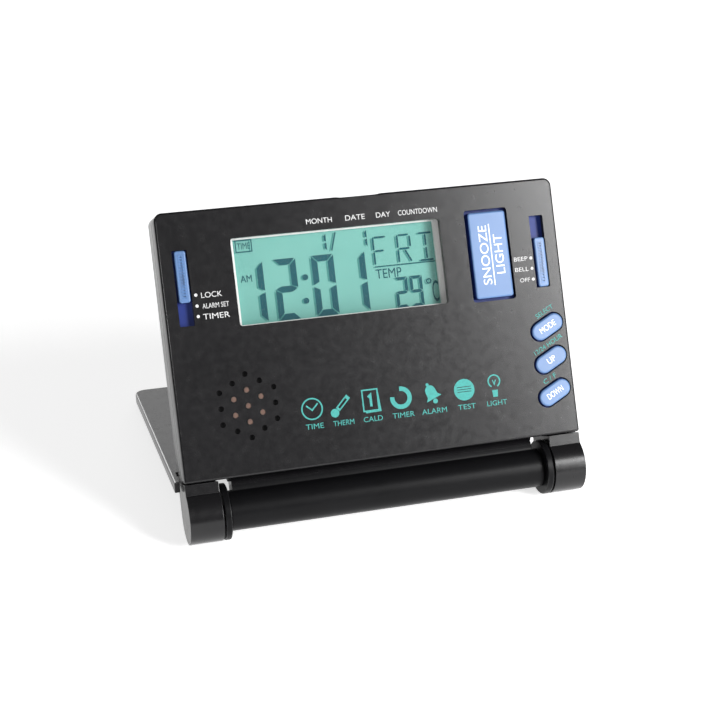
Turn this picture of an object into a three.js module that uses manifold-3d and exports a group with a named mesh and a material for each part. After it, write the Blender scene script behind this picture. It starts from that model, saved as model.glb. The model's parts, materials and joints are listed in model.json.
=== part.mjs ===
/**
 * Folding travel alarm clock, in millimetres, standing on a table with +Z up and its front towards -Y.
 *
 * The head holds the display, buttons, slides, sounder and batteries, and leans back on a flat cover.
 * The cover turns on a hinge under the head. It shuts over the front for travel, and folds right round
 * behind as a stand.
 *
 * The head is drawn in its own frame: X to the right, Y up the front from its lower edge and Z out of the
 * front face, which is Z = 0. The cover is drawn with X along the hinge axis, Y away from the axis and Z out
 * of its outer face. Two groups turn these frames to the standing position.
 */
import * as THREE from 'three';
import { mergeVertices } from 'three/addons/utils/BufferGeometryUtils.js';
import Module from 'manifold-3d';

const wasm = await Module();
wasm.setup();

// ---------------------------------------------------------------------------------------------------------
// Driving dimensions. An inset is from a side of the head, a drop from its top and a rise from its bottom.
// ---------------------------------------------------------------------------------------------------------

// Fits
const gap = 0.3; // between pieces that touch or nearly touch
const pinClearance = 0.1; // radial, of a hinge pin in its bush and socket
const bite = 0.5; // how far an added piece runs into what it joins
const beyond = 40; // how far a cutter runs past what it cuts

// Casing
const headWidth = 100;
const headHeight = 64;
const headDepth = 12;
const leanDegrees = 27.8; // front face, from the vertical
const cornerRadius = 2; // upper corners
const lowerCornerRadius = 0.6;
const leastRadius = 0.1;
const wall = 1.5;
const frontThickness = 1.6;
const frontDepth = 5; // front shell, from its face to the parting line
const frontEdge = 0.5; // edge roundings
const rearEdge = 0.9;
const tongueThickness = 0.8; // rear shell's tongue, inside the front shell's wall
const tongueHeight = 1.2;
const notchWidth = 12; // thumb notch in the top edge
const notchDepth = 0.5;
const notchReach = 2.4;

// Hinge
const axisDrop = 8; // axis below the head's lower edge
const knuckleRadius = 6.85;
const knuckleWidth = 8.1;
const neckRecess = 0.6; // neck's front, behind the front face
const barrelRadius = 4.88;
const barrelBore = 3.2;
const springSeatBore = 1.8;
const bushBoreDepth = 24;
const flangeWidth = 1.6;
const flangeGap = 0.4; // between the flange and the knuckle
const spigotLength = 6;
const pinRadius = 1.5;
const pinHeadRadius = 2.5;
const pinHeadLength = 1.5;
const pinEngagement = 4;
const springWire = 0.5;
const springTurns = 6;

// Cover
const coverOuter = 7.4; // outer face above the hinge axis
const coverThickness = 1.2;
const coverDepth = 2.7; // plate and rim together
const rimWall = 1.3;
const coverCorner = 3;
const coverEdge = 0.5;
const plateStart = 3; // plate's near edge, from the axis
const rimStart = 4; // side rims' near ends, from the axis
const webInset = 1.3; // web's end, from the barrel's end
const webReach = 7; // web's far end, from the axis
const footRelief = 0.1; // height dressed off the far rim, so that it stands on a flat

// Display
const displayInset = 17.55; // opening's left edge
const displayDrop = 7.5; // opening's top edge
const displayWidth = 52.3;
const displayHeight = 21;
const displayMargin = 2.3; // window and frame, past the opening
const windowThickness = 0.8;
const frameBorder = 1; // frame's sides, seen in the opening
const frameFlange = 0.8;
const frameWall = 1.2;
const glassThickness = 2.2;
const guideThickness = 1.1;
const connectorHeight = 1.6;
const lampSize = 2;

// Push buttons
const snoozeInset = 18.2;
const snoozeDrop = 17.75;
const snoozeWidth = 9.8;
const snoozeHeight = 21.4;
const snoozeMoat = 0.7; // gap round the button
const snoozeCorner = 0.8;
const ovalInset = 5.5;
const ovalDrop = 9.95; // top oval's centre, below the slide's slot
const ovalPitch = 8.25;
const ovalLength = 8.9;
const ovalWidth = 4.5;
const ovalTiltDegrees = 27;
const ovalMoat = 0.35;
const buttonProud = 0.6;
const buttonEdge = 0.45;
const buttonSunk = 1.3; // cap's back, behind the front face
const buttonLip = 0.6; // how far the flange catches behind the panel
const buttonFlange = 0.7;
const buttonTravel = 0.5;
const switchSize = 4.4;
const switchPlunger = 0.6;
const plungerRadius = 1.1;

// Slide switches
const slideInset = 5.1;
const slideDrop = 9.15; // slot's top end
const slotWidth = 3.6;
const slotLength = 18;
const knobWidth = 2.7;
const knobLength = 12.3;
const knobProud = 0.6;
const knobGroove = 0.7; // width of the groove along the knob
const grooveDepth = 0.4;
const skirtThickness = 0.7;
const skirtOverlap = 0.4;
const leverSize = 1.4;
const slideBodyWidth = 4;
const slideBodyLength = 11;
const slideBodyDepth = 3.4;
const slideBodyFloor = 0.8;

// Sounder
const sounderInset = 17.25;
const sounderRise = 16.55;
const holePitch = 3.8;
const holeRadius = 0.68;
const grilleThickness = 0.8;
const cupRadius = 10;
const cupBore = 5.6;
const cupDepth = 0.5;
const cupWall = 1;
const membraneRadius = 9;
const membraneThickness = 0.4;

// Circuit board and its parts
const boardThickness = 1;
const boardFront = 8; // behind the front face
const boardMargin = 0.9; // inside the wall
const boardBelowDisplay = 5;
const boardLegWidth = 9.5;
const boardLegRise = 4;
const chipRadius = 4.2;
const chipHeight = 0.9;
const crystalRadius = 1;
const crystalLength = 6;
const sensorRadius = 0.9;
const smallPartRow = 2.6; // crystal and sensor, up from the board's lower edge
const crystalOffset = -12; // from the display's middle
const sensorOffset = 20;

// Batteries
const cellDiameter = 11.6;
const cellHeight = 5.4;
const cellSpace = 0.6; // round each cell
const batteryOffset = 5; // from the head's middle
const batteryRise = 13.6;
const contactThickness = 0.3;
const contactSize = 8;
const tubWall = 0.8;
const doorThickness = 1.4;
const doorLedge = 1.5;
const doorTab = 6; // end of the door that takes the screw
const doorCorner = 1;

// Screws
const postRadius = 2;
const screwRadius = 0.9;
const screwHeadRadius = 1.7;
const screwHeadHeight = 1;
const screwLength = 8;
const doorScrewLength = 4;
const driverSlot = 0.5; // width and depth of the slot in the head
const screwInset = 5.6; // from the nearest edges, where nothing else fixes the place
const topScrewDrop = 5.2;
const topLeftScrewInset = 11.2;
const lowerRightScrewInset = 14;

// ---------------------------------------------------------------------------------------------------------
// Derived sizes and places
// ---------------------------------------------------------------------------------------------------------

const side = headWidth / 2;
const middleY = headHeight / 2;
const lean = THREE.MathUtils.degToRad(leanDegrees);
const axisDepth = headDepth - knuckleRadius; // knuckles are flush with the head's back
const rearStart = frontDepth + gap;
const innerBack = headDepth - wall;

const flangeEnd = side - knuckleWidth - flangeGap;
const flangeStart = flangeEnd - flangeWidth;
const barrelHalf = flangeStart - gap;
const pinHeadEnd = flangeStart - spigotLength - gap;
const springStart = barrelHalf - bushBoreDepth + gap;
const springEnd = pinHeadEnd - pinHeadLength - gap;

const rimInnerX = side + gap;
const rimOuterX = rimInnerX + rimWall;
const rimInnerY = axisDrop + headHeight + gap;
const rimOuterY = rimInnerY + rimWall;
const coverInner = coverOuter - coverThickness;
const rimBottom = coverOuter - coverDepth;
const rimReach = Math.hypot(rimOuterY, rimBottom);
const coverSlope = Math.asin((knuckleRadius + footRelief) / rimReach) + Math.atan2(rimBottom, rimOuterY);
const neckAngle = lean - coverSlope; // between the open cover and the square to the head's back
const neckClearance = 2 * gap;
const neckNotch = (knuckleRadius + coverOuter * Math.sin(neckAngle) + neckClearance) / Math.cos(neckAngle);

const displayX = displayInset + displayWidth / 2 - side;
const displayY = headHeight - displayDrop - displayHeight / 2;
const windowFront = frontThickness + gap;
const frameFront = windowFront + windowThickness + gap;
const glassFront = frameFront + frameFlange + gap;
const guideFront = glassFront + glassThickness + gap;
const frameWidth = displayWidth + 2 * displayMargin;
const frameHeight = displayHeight + 2 * displayMargin;
const glassWidth = frameWidth - 2 * (frameWall + gap);
const glassHeight = frameHeight - 2 * (frameWall + gap);

const snoozeX = side - snoozeInset;
const snoozeY = headHeight - snoozeDrop;
const ovalX = side - ovalInset;
const ovalTilt = THREE.MathUtils.degToRad(ovalTiltDegrees);
const flangeFront = frontThickness + gap; // button flanges and slide skirts lie behind the panel
const flangeBack = flangeFront + buttonFlange;
const switchFront = flangeBack + buttonTravel + gap;
const boardSide = boardFront - gap; // backs of the parts on the board's front
const openingDepth = buttonSunk + buttonTravel + gap;

const slideX = side - slideInset;
const slotMiddle = headHeight - slideDrop - slotLength / 2;
const slotBottom = slotMiddle - slotLength / 2;
const slideTravel = slotLength - gap - knobLength;
const skirtBack = flangeFront + skirtThickness;
const skirtWidth = slotWidth + 2 * skirtOverlap;
const skirtLength = knobLength + 2 * (slideTravel + skirtOverlap);
const slideBodyFront = boardSide - slideBodyDepth;

const sounderX = sounderInset - side;
const cupFront = grilleThickness + gap;
const membraneFront = cupFront + cupDepth + gap;
const membraneBack = membraneFront + membraneThickness;

const boardBack = boardFront + boardThickness;
const boardHalf = side - wall - boardMargin;
const boardTop = headHeight - wall - boardMargin;
const boardBottom = displayY - frameHeight / 2 - boardBelowDisplay;

const pocketLength = 2 * cellDiameter + 3 * cellSpace;
const pocketHeight = cellDiameter + 2 * cellSpace;
const doorLength = pocketLength + 2 * doorLedge + doorTab;
const doorHeight = pocketHeight + 2 * doorLedge;
const doorX = batteryOffset + doorTab / 2;
const doorFront = headDepth - doorThickness;
const doorSeat = doorFront - gap;
const linkBack = doorSeat;
const linkFront = linkBack - contactThickness;
const cellBack = linkFront - gap;
const contactBack = cellBack - cellHeight - gap;
const contactFront = contactBack - contactThickness;
const pocketFront = contactFront - gap;
const cellOffset = (cellDiameter + cellSpace) / 2;
const doorScrewX = batteryOffset + pocketLength / 2 + doorLedge + doorTab / 2;
const doorBossFront = headDepth - screwHeadHeight - doorScrewLength - 2 * gap;

const columnRadius = screwHeadRadius + gap + tubWall;
const topRightScrewX = slideX - skirtWidth / 2 - gap - postRadius;
const screws = {
  top_left: [topLeftScrewInset - side, headHeight - topScrewDrop],
  top_right: [topRightScrewX, headHeight - topScrewDrop],
  bottom_left: [screwInset - side, screwInset],
  bottom_right: [side - lowerRightScrewInset, screwInset],
};

// ---------------------------------------------------------------------------------------------------------
// Materials
// ---------------------------------------------------------------------------------------------------------

function look(color, roughness, metalness = 0) {
  return new THREE.MeshStandardMaterial({ color, roughness, metalness });
}

const charcoal = () => look(0x2f2e31, 0.45);
const black = () => look(0x1a1a1c, 0.35);
const blue = () => look(0x5a82d0, 0.4);
const clear = () => look(0xd8e4e2, 0.1);
const white = () => look(0xf0f0ec, 0.5);
const teal = () => look(0x73b4a5, 0.2);
const rubber = () => look(0x3a3a3c, 0.8);
const nylon = () => look(0x232325, 0.6);
const laminate = () => look(0x2f6b45, 0.55);
const steel = () => look(0xb8babd, 0.3, 1);
const nickel = () => look(0xc9c6bd, 0.35, 1);
const copper = () => look(0xaa8278, 0.4, 1);

// ---------------------------------------------------------------------------------------------------------
// Outlines
// ---------------------------------------------------------------------------------------------------------

/** Rectangle with round corners, centred at (x, y). The lower corners can have a radius of their own. */
function roundedRect(width, height, radius, x = 0, y = 0, lowerRadius = radius) {
  const quarter = Math.PI / 2;
  const corners = [[1, -1, lowerRadius], [1, 1, radius], [-1, 1, radius], [-1, -1, lowerRadius]];
  const outline = new THREE.Shape();
  corners.forEach(([across, up, r], turn) => {
    const start = (turn - 1) * quarter;
    outline.absarc(x + across * (width / 2 - r), y + up * (height / 2 - r), r, start, start + quarter);
  });
  return outline;
}

function circle(radius, x = 0, y = 0) {
  return new THREE.Shape().absarc(x, y, radius, 0, 2 * Math.PI);
}

/** Stadium with its long axis turned by the ovals' tilt, centred at (x, y). */
function oval(length, width, x = 0, y = 0) {
  const radius = width / 2;
  const alongX = (length / 2 - radius) * Math.cos(ovalTilt);
  const alongY = (length / 2 - radius) * Math.sin(ovalTilt);
  const quarter = Math.PI / 2;
  const outline = new THREE.Shape();
  outline.absarc(x + alongX, y + alongY, radius, ovalTilt - quarter, ovalTilt + quarter);
  outline.absarc(x - alongX, y - alongY, radius, ovalTilt + quarter, ovalTilt + 3 * quarter);
  return outline;
}

// ---------------------------------------------------------------------------------------------------------
// Solids
// ---------------------------------------------------------------------------------------------------------

/** Closed solid from a three.js geometry. */
function solid(geometry) {
  const bare = geometry.clone();
  bare.deleteAttribute('normal');
  bare.deleteAttribute('uv');
  const merged = mergeVertices(bare, 1e-4);
  return new wasm.Manifold(new wasm.Mesh({
    numProp: 3,
    vertProperties: new Float32Array(merged.attributes.position.array),
    triVerts: new Uint32Array(merged.index.array),
  }));
}

/** Shapes in the XY plane, extruded from Z = back to Z = front. */
function prism(shapes, back, front, curveSegments = 7) {
  const depth = front - back;
  const geometry = new THREE.ExtrudeGeometry(shapes, { depth, bevelEnabled: false, curveSegments });
  return solid(geometry.translate(0, 0, back));
}

/** Outline drawn in (Y, Z), extruded along X from left to right. */
function bar(shape, left, right, curveSegments = 6) {
  const depth = right - left;
  const geometry = new THREE.ExtrudeGeometry(shape, { depth, bevelEnabled: false, curveSegments });
  return solid(geometry.rotateX(Math.PI / 2).rotateZ(Math.PI / 2).translate(left, 0, 0));
}

/** Outline extruded from Z = back to Z = front and grown by the rounding of its front edge. */
function softPrism(shape, back, front, edge, curveSegments = 7) {
  const geometry = new THREE.ExtrudeGeometry(shape, {
    depth: front - back, bevelThickness: edge, bevelSize: edge, bevelSegments: 3, curveSegments,
  });
  const tail = new THREE.BoxGeometry(4 * beyond, 4 * beyond, beyond).translate(0, 0, back - beyond / 2);
  return solid(geometry.translate(0, 0, back - edge)).subtract(solid(tail));
}

/** Box centred at (x, y), from Z = back to Z = front. */
function box(width, height, back, front, x = 0, y = 0) {
  return solid(new THREE.BoxGeometry(width, height, front - back).translate(x, y, (back + front) / 2));
}

/** Cylinder along Z, from Z = back to Z = front. */
function rod(radius, back, front, x = 0, y = 0, sides = 16) {
  const geometry = new THREE.CylinderGeometry(radius, radius, front - back, sides);
  return solid(geometry.rotateX(Math.PI / 2).translate(x, y, (back + front) / 2));
}

/** Cylinder along X, with its axis at (y, z). */
function axle(radius, left, right, y = 0, z = 0, sides = 20) {
  const geometry = new THREE.CylinderGeometry(radius, radius, right - left, sides);
  return solid(geometry.rotateZ(Math.PI / 2).translate((left + right) / 2, y, z));
}

/** Same solid seen in a mirror across X = 0. */
function mirrored(shape) {
  return shape.mirror([1, 0, 0]);
}

const join = (first, ...others) => others.reduce((sum, other) => sum.add(other), first);
const cut = (first, ...others) => others.reduce((rest, other) => rest.subtract(other), first);

/** Named mesh of a finished solid, at a place in its group. */
function part(name, shape, material, x = 0, y = 0, z = 0) {
  const { vertProperties, triVerts } = shape.getMesh();
  const geometry = new THREE.BufferGeometry();
  geometry.setAttribute('position', new THREE.BufferAttribute(new Float32Array(vertProperties), 3));
  geometry.setIndex(new THREE.BufferAttribute(new Uint32Array(triVerts), 1));
  geometry.computeVertexNormals();
  const mesh = new THREE.Mesh(geometry, material);
  mesh.name = name;
  mesh.position.set(x, y, z);
  return mesh;
}

// ---------------------------------------------------------------------------------------------------------
// Casing
// ---------------------------------------------------------------------------------------------------------

/** Everything on the open cover's side of a plane that lies deeper than the cover's outer face, by depth. */
function coverSide(depth) {
  const width = 2 * (flangeEnd + flangeGap);
  const geometry = new THREE.BoxGeometry(width, 2 * beyond, beyond);
  geometry.translate(0, 0, coverOuter + gap + depth - beyond / 2);
  geometry.rotateX(neckAngle - Math.PI / 2);
  return solid(geometry.translate(0, -axisDrop, -axisDepth));
}

/** Hexagonal lattice of round holes: one in the middle and two rings, with a corner pointing up. */
function sounderHoles() {
  const places = [[0, 0]];
  for (let corner = 0; corner < 6; corner += 1) {
    const here = Math.PI / 2 + (corner * Math.PI) / 3;
    const next = here + Math.PI / 3;
    places.push([Math.cos(here), Math.sin(here)]);
    places.push([2 * Math.cos(here), 2 * Math.sin(here)]);
    places.push([Math.cos(here) + Math.cos(next), Math.sin(here) + Math.sin(next)]);
  }
  return places.map(([x, y]) => circle(holeRadius, sounderX + holePitch * x, sounderRise + holePitch * y));
}

/** Centres of the three oval buttons, from the top. */
const ovalRows = [0, 1, 2].map((row) => slotBottom - ovalDrop - row * ovalPitch);

function faceOpenings() {
  return [
    roundedRect(displayWidth, displayHeight, snoozeMoat, displayX, displayY),
    roundedRect(snoozeWidth + 2 * snoozeMoat, snoozeHeight + 2 * snoozeMoat, snoozeCorner, snoozeX, snoozeY),
    roundedRect(slotWidth, slotLength, gap, -slideX, slotMiddle),
    roundedRect(slotWidth, slotLength, gap, slideX, slotMiddle),
    ...ovalRows.map((y) => oval(ovalLength + 2 * ovalMoat, ovalWidth + 2 * ovalMoat, ovalX, y)),
  ];
}

/** Shallow scoop in the top edge for a fingertip. */
function thumbNotch() {
  const radius = (notchWidth ** 2 / 4 + notchDepth ** 2) / (2 * notchDepth);
  return rod(radius, -notchReach, 1, 0, headHeight + radius - notchDepth, 96);
}

/** Rounded rectangle of the head, inset all round. */
function headOutline(inset) {
  const upper = Math.max(cornerRadius - inset, leastRadius);
  const lower = Math.max(lowerCornerRadius - inset, leastRadius);
  return roundedRect(headWidth - 2 * inset, headHeight - 2 * inset, upper, 0, middleY, lower);
}

function frontShell() {
  const outside = softPrism(headOutline(frontEdge), -frontDepth, 0, frontEdge);
  const inside = prism(headOutline(wall), -beyond, -frontThickness);
  const places = Object.values(screws);
  const posts = places.map(([x, y]) => rod(postRadius, -frontDepth, bite - frontThickness, x, y, 12));
  const pilots = places.map(([x, y]) => rod(screwRadius + gap, -beyond, -frontThickness, x, y, 10));
  const seatBore = cupRadius + gap;
  const cupSeat = rod(seatBore + cupWall, -membraneBack, bite - frontThickness, sounderX, sounderRise, 28);
  const cupRoom = rod(seatBore, -beyond, -grilleThickness, sounderX, sounderRise, 28);
  return cut(
    join(cut(outside, inside), cupSeat, ...posts),
    ...pilots,
    cupRoom,
    prism(faceOpenings(), -openingDepth, 1),
    prism(sounderHoles(), -openingDepth, 1),
    thumbNotch(),
    coverSide(0),
  );
}

/** Neck and knuckle in (Y, Z): flat behind, round below, then up the front of the neck. */
function knuckleProfile() {
  const neckFront = Math.acos((axisDepth - neckRecess) / knuckleRadius); // where the round meets the neck
  const outline = new THREE.Shape();
  outline.moveTo(wall, -headDepth);
  outline.lineTo(-axisDrop, -headDepth);
  outline.absarc(-axisDrop, -axisDepth, knuckleRadius, -Math.PI / 2, -neckFront - 1.5 * Math.PI, true);
  outline.lineTo(-gap, -neckRecess);
  outline.lineTo(-gap, -rearStart);
  outline.lineTo(wall, -rearStart);
  return outline;
}

/** Knuckle at the right end of the head, with the socket for its hinge pin. */
function knuckle() {
  const inner = side - knuckleWidth;
  const socketEnd = inner + pinEngagement + gap;
  const socket = axle(pinRadius + pinClearance, inner - gap, socketEnd, -axisDrop, -axisDepth);
  return cut(bar(knuckleProfile(), inner, side, 26), socket);
}

/** Ring inside the front shell's wall, with a wider foot that joins it to the rear shell's wall. */
function tongue() {
  const foot = prism(headOutline(wall - gap), -rearStart - tongueHeight, -rearStart);
  const ring = prism(headOutline(wall + gap), -rearStart - tongueHeight, -frontDepth + tongueHeight);
  const opening = prism(headOutline(wall + gap + tongueThickness), -beyond, beyond);
  return cut(join(foot, ring), opening);
}

/** Tub for the cells with the door's ledge and the boss for the door's screw. */
function batteryTub() {
  const tubLength = pocketLength + 2 * tubWall;
  const tubHeight = pocketHeight + 2 * tubWall;
  const ledgeLength = doorLength + 2 * doorLedge;
  const ledgeHeight = doorHeight + 2 * doorLedge;
  const back = -innerBack - bite;
  return join(
    box(tubLength, tubHeight, back, tubWall - pocketFront, batteryOffset, batteryRise),
    box(ledgeLength, ledgeHeight, back, tubWall - doorSeat, doorX, batteryRise),
    rod(postRadius, back, -doorBossFront, doorScrewX, batteryRise, 12),
  );
}

function batteryPocket() {
  return join(
    box(pocketLength, pocketHeight, -beyond, -pocketFront, batteryOffset, batteryRise),
    box(doorLength + 2 * gap, doorHeight + 2 * gap, -beyond, -doorSeat, doorX, batteryRise),
    rod(screwRadius + gap, -beyond, -doorBossFront - gap, doorScrewX, batteryRise, 10),
  );
}

function rearShell() {
  const outside = softPrism(headOutline(rearEdge), rearStart, headDepth, rearEdge).mirror([0, 0, 1]);
  const inside = cut(prism(headOutline(wall), -innerBack, beyond), coverSide(wall));
  const places = Object.values(screws);
  const columns = places.map(([x, y]) => rod(columnRadius, -innerBack - bite, -rearStart, x, y, 16));
  const holes = places.map(([x, y]) => rod(screwRadius + gap, -beyond, beyond, x, y, 10));
  const headSeats = places.map(([x, y]) =>
    rod(screwHeadRadius + gap, -beyond, -headDepth + screwHeadHeight + gap, x, y, 16));
  return cut(
    join(cut(outside, inside), tongue(), batteryTub(), ...columns, knuckle(), mirrored(knuckle())),
    batteryPocket(),
    ...holes,
    ...headSeats,
    coverSide(0),
  );
}

/** Screw with a slotted head, drawn from the back of its head at Z = 0 forwards. */
function screw(length) {
  const head = rod(screwHeadRadius, 0, screwHeadHeight);
  const shank = rod(screwRadius, screwHeadHeight / 2, screwHeadHeight + length);
  return cut(join(head, shank), box(2 * beyond, driverSlot, -1, driverSlot));
}

function casing() {
  const group = new THREE.Group();
  group.add(part('front_shell', frontShell(), charcoal()));
  group.add(part('rear_shell', rearShell(), charcoal()));
  for (const [place, [x, y]] of Object.entries(screws)) {
    group.add(part(`case_screw_${place}`, screw(screwLength), steel(), x, y, -headDepth));
  }
  return group;
}

// ---------------------------------------------------------------------------------------------------------
// Display
// ---------------------------------------------------------------------------------------------------------

/** White frame that holds the glass and the light guide, open at the back, with a window for the lamp. */
function displayFrame() {
  return cut(
    prism(roundedRect(frameWidth, frameHeight, gap), -boardSide, -frameFront),
    box(glassWidth + 2 * gap, glassHeight + 2 * gap, -beyond, -frameFront - frameFlange),
    box(displayWidth - 2 * frameBorder, displayHeight - frameBorder / 2, -beyond, 0),
    box(beyond, lampSize + 2 * gap, -beyond, gap - guideFront, (frameWidth + beyond) / 2 - 2 * frameWall),
  );
}

function display() {
  const guideHeight = glassHeight - connectorHeight - gap;
  const guideY = (connectorHeight + gap) / 2;
  const connectorY = (connectorHeight - glassHeight) / 2;
  const lampX = frameWidth / 2 + gap + lampSize / 2;
  const guideBack = -guideFront - guideThickness;
  const group = new THREE.Group();
  group.position.set(displayX, displayY, 0);
  const window = prism(roundedRect(frameWidth, frameHeight, gap), -windowThickness, 0);
  const glass = box(glassWidth, glassHeight, -glassThickness, 0);
  const guide = box(glassWidth, guideHeight, 0, guideThickness);
  const connector = box(glassWidth, connectorHeight, 0, guideThickness);
  const lamp = box(lampSize, lampSize, 0, guideThickness);
  group.add(part('display_window', window, clear(), 0, 0, -windowFront));
  group.add(part('display_frame', displayFrame(), white()));
  group.add(part('display_glass', glass, teal(), 0, 0, -glassFront));
  group.add(part('light_guide', guide, white(), 0, guideY, guideBack));
  group.add(part('display_connector', connector, rubber(), 0, connectorY, guideBack));
  group.add(part('backlight_lamp', lamp, white(), lampX, 0, guideBack));
  return group;
}

// ---------------------------------------------------------------------------------------------------------
// Push buttons and their switches
// ---------------------------------------------------------------------------------------------------------

/** Wide button: soft cap through the panel and a flange that catches behind it. */
function snoozeButton() {
  const lip = snoozeMoat + buttonLip;
  const width = snoozeWidth - 2 * buttonEdge;
  const height = snoozeHeight - 2 * buttonEdge;
  const top = roundedRect(width, height, snoozeCorner - buttonEdge);
  return join(
    softPrism(top, -flangeFront, buttonProud, buttonEdge),
    box(snoozeWidth + 2 * lip, snoozeHeight + 2 * lip, -flangeBack, -flangeFront),
  );
}

/** Oval button: soft cap, a slimmer neck that clears the side wall and a flange behind the panel. */
function ovalButton() {
  const flangeLength = ovalLength * Math.cos(ovalTilt) - 2 * buttonLip;
  const flangeHeight = ovalPitch - 2 * gap;
  const top = oval(ovalLength - 2 * buttonEdge, ovalWidth - 2 * buttonEdge);
  const neck = oval(ovalLength - 2 * buttonLip, ovalWidth - 2 * buttonLip);
  return join(
    softPrism(top, -buttonSunk, buttonProud, buttonEdge),
    prism(neck, -flangeFront, -buttonSunk),
    box(flangeLength, flangeHeight, -flangeBack, -flangeFront),
  );
}

/** Key switch on the board, with its plunger just behind the button. */
function keySwitch() {
  return join(
    box(switchSize, switchSize, -boardSide, -switchFront - switchPlunger),
    rod(plungerRadius, -switchFront - 2 * switchPlunger, -switchFront, 0, 0, 12),
  );
}

function buttons() {
  const group = new THREE.Group();
  group.add(part('snooze_button', snoozeButton(), blue(), snoozeX, snoozeY));
  group.add(part('snooze_switch', keySwitch(), nylon(), snoozeX, snoozeY));
  ['mode', 'up', 'down'].forEach((name, row) => {
    group.add(part(`${name}_button`, ovalButton(), blue(), ovalX, ovalRows[row]));
    group.add(part(`${name}_switch`, keySwitch(), nylon(), ovalX, ovalRows[row]));
  });
  return group;
}

// ---------------------------------------------------------------------------------------------------------
// Slide switches
// ---------------------------------------------------------------------------------------------------------

/** Knob in the slot, the skirt that closes the slot behind it and the lever that works the switch. */
function slideKnob() {
  const top = roundedRect(knobWidth - 2 * gap, knobLength - 2 * gap, gap);
  return cut(
    join(
      softPrism(top, -flangeFront, knobProud, gap),
      box(skirtWidth, skirtLength, -skirtBack, -flangeFront),
      box(leverSize, leverSize, -boardSide + slideBodyFloor + gap, -skirtBack),
    ),
    box(knobGroove, knobLength - 4 * knobGroove, knobProud - grooveDepth, beyond),
  );
}

/** Switch body on the board, with a groove for the lever. */
function slideBody() {
  return cut(
    box(slideBodyWidth, slideBodyLength, -boardSide, -slideBodyFront),
    box(leverSize + 2 * gap, slideTravel + leverSize + 2 * gap, -boardSide + slideBodyFloor, 0),
  );
}

function slides() {
  const ends = { left: 1, right: -1 }; // each knob stands at one end of its slot
  const group = new THREE.Group();
  for (const [name, end] of Object.entries(ends)) {
    const x = name === 'left' ? -slideX : slideX;
    group.add(part(`${name}_knob`, slideKnob(), blue(), x, slotMiddle + (end * slideTravel) / 2));
    group.add(part(`${name}_slide_switch`, slideBody(), nylon(), x, slotMiddle));
  }
  return group;
}

// ---------------------------------------------------------------------------------------------------------
// Sounder
// ---------------------------------------------------------------------------------------------------------

function sounder() {
  const cup = cut(rod(cupRadius, -cupDepth, 0, 0, 0, 28), rod(cupBore, -beyond, beyond, 0, 0, 24));
  const membrane = rod(membraneRadius, -membraneThickness, 0, 0, 0, 28);
  const group = new THREE.Group();
  group.position.set(sounderX, sounderRise, 0);
  group.add(part('sounder_cup', cup, black(), 0, 0, -cupFront));
  group.add(part('sounder_membrane', membrane, copper(), 0, 0, -membraneFront));
  return group;
}

// ---------------------------------------------------------------------------------------------------------
// Circuit board
// ---------------------------------------------------------------------------------------------------------

function circuitBoard() {
  const mainHeight = boardTop - boardBottom;
  const main = box(2 * boardHalf, mainHeight, -boardBack, -boardFront, 0, boardBottom + mainHeight / 2);
  const legHeight = boardBottom - boardLegRise + gap;
  const legX = boardHalf - boardLegWidth / 2;
  const legY = boardLegRise + legHeight / 2;
  const leg = box(boardLegWidth, legHeight, -boardBack, -boardFront, legX, legY);
  const holes = Object.values(screws).map(([x, y]) => rod(columnRadius + gap, -beyond, 0, x, y, 16));
  return cut(join(main, leg), ...holes);
}

function board() {
  const rowY = boardBottom + smallPartRow;
  const crystalX = displayX + crystalOffset;
  const sensorX = displayX + sensorOffset;
  const crystal = axle(crystalRadius, -crystalLength / 2, crystalLength / 2, 0, 0, 12);
  const sensor = solid(new THREE.SphereGeometry(sensorRadius, 10, 6));
  const chip = solid(new THREE.LatheGeometry([
    new THREE.Vector2(0, 0),
    new THREE.Vector2(chipRadius, 0),
    new THREE.Vector2(chipRadius * 0.8, chipHeight * 0.8),
    new THREE.Vector2(0, chipHeight),
  ], 20).rotateX(-Math.PI / 2));
  const group = new THREE.Group();
  group.add(part('circuit_board', circuitBoard(), laminate()));
  group.add(part('clock_chip', chip, black(), displayX, displayY, -boardBack - gap));
  group.add(part('quartz_crystal', crystal, nickel(), crystalX, rowY, crystalRadius - boardSide));
  group.add(part('temperature_sensor', sensor, black(), sensorX, rowY, sensorRadius - boardSide));
  return group;
}

// ---------------------------------------------------------------------------------------------------------
// Batteries
// ---------------------------------------------------------------------------------------------------------

/** Contact plate under a cell, with a tab that stands up beside the cell towards the door. */
function contact() {
  const tabY = (pocketHeight - contactThickness) / 2 - gap / 2;
  const plateTop = tabY + contactThickness / 2;
  return join(
    box(contactSize, plateTop, 0, contactThickness, 0, plateTop / 2),
    box(contactSize / 2, contactThickness, -cellHeight / 2, contactThickness, 0, tabY),
  );
}

function batteryDoor() {
  const screwX = doorScrewX - doorX;
  return cut(
    prism(roundedRect(doorLength, doorHeight, doorCorner), 0, doorThickness),
    rod(screwRadius + gap, -beyond, beyond, screwX, 0, 10),
    rod(screwHeadRadius + gap, -beyond, screwHeadHeight, screwX, 0, 16),
  );
}

function batteries() {
  const link = box(2 * cellOffset + contactSize / 2, contactSize / 2, 0, contactThickness);
  const group = new THREE.Group();
  group.position.set(0, batteryRise, 0);
  group.add(part('battery_door', batteryDoor(), charcoal(), doorX, 0, -headDepth));
  group.add(part('battery_door_screw', screw(doorScrewLength), steel(), doorScrewX, 0, -headDepth));
  group.add(part('battery_link', link, nickel(), batteryOffset, 0, -linkBack));
  for (const [name, end] of Object.entries({ left: -1, right: 1 })) {
    const x = batteryOffset + end * cellOffset;
    const cell = rod(cellDiameter / 2, 0, cellHeight, 0, 0, 24);
    group.add(part(`battery_cell_${name}`, cell, steel(), x, 0, -cellBack));
    group.add(part(`battery_contact_${name}`, contact(), nickel(), x, 0, -contactBack));
  }
  return group;
}

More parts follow.
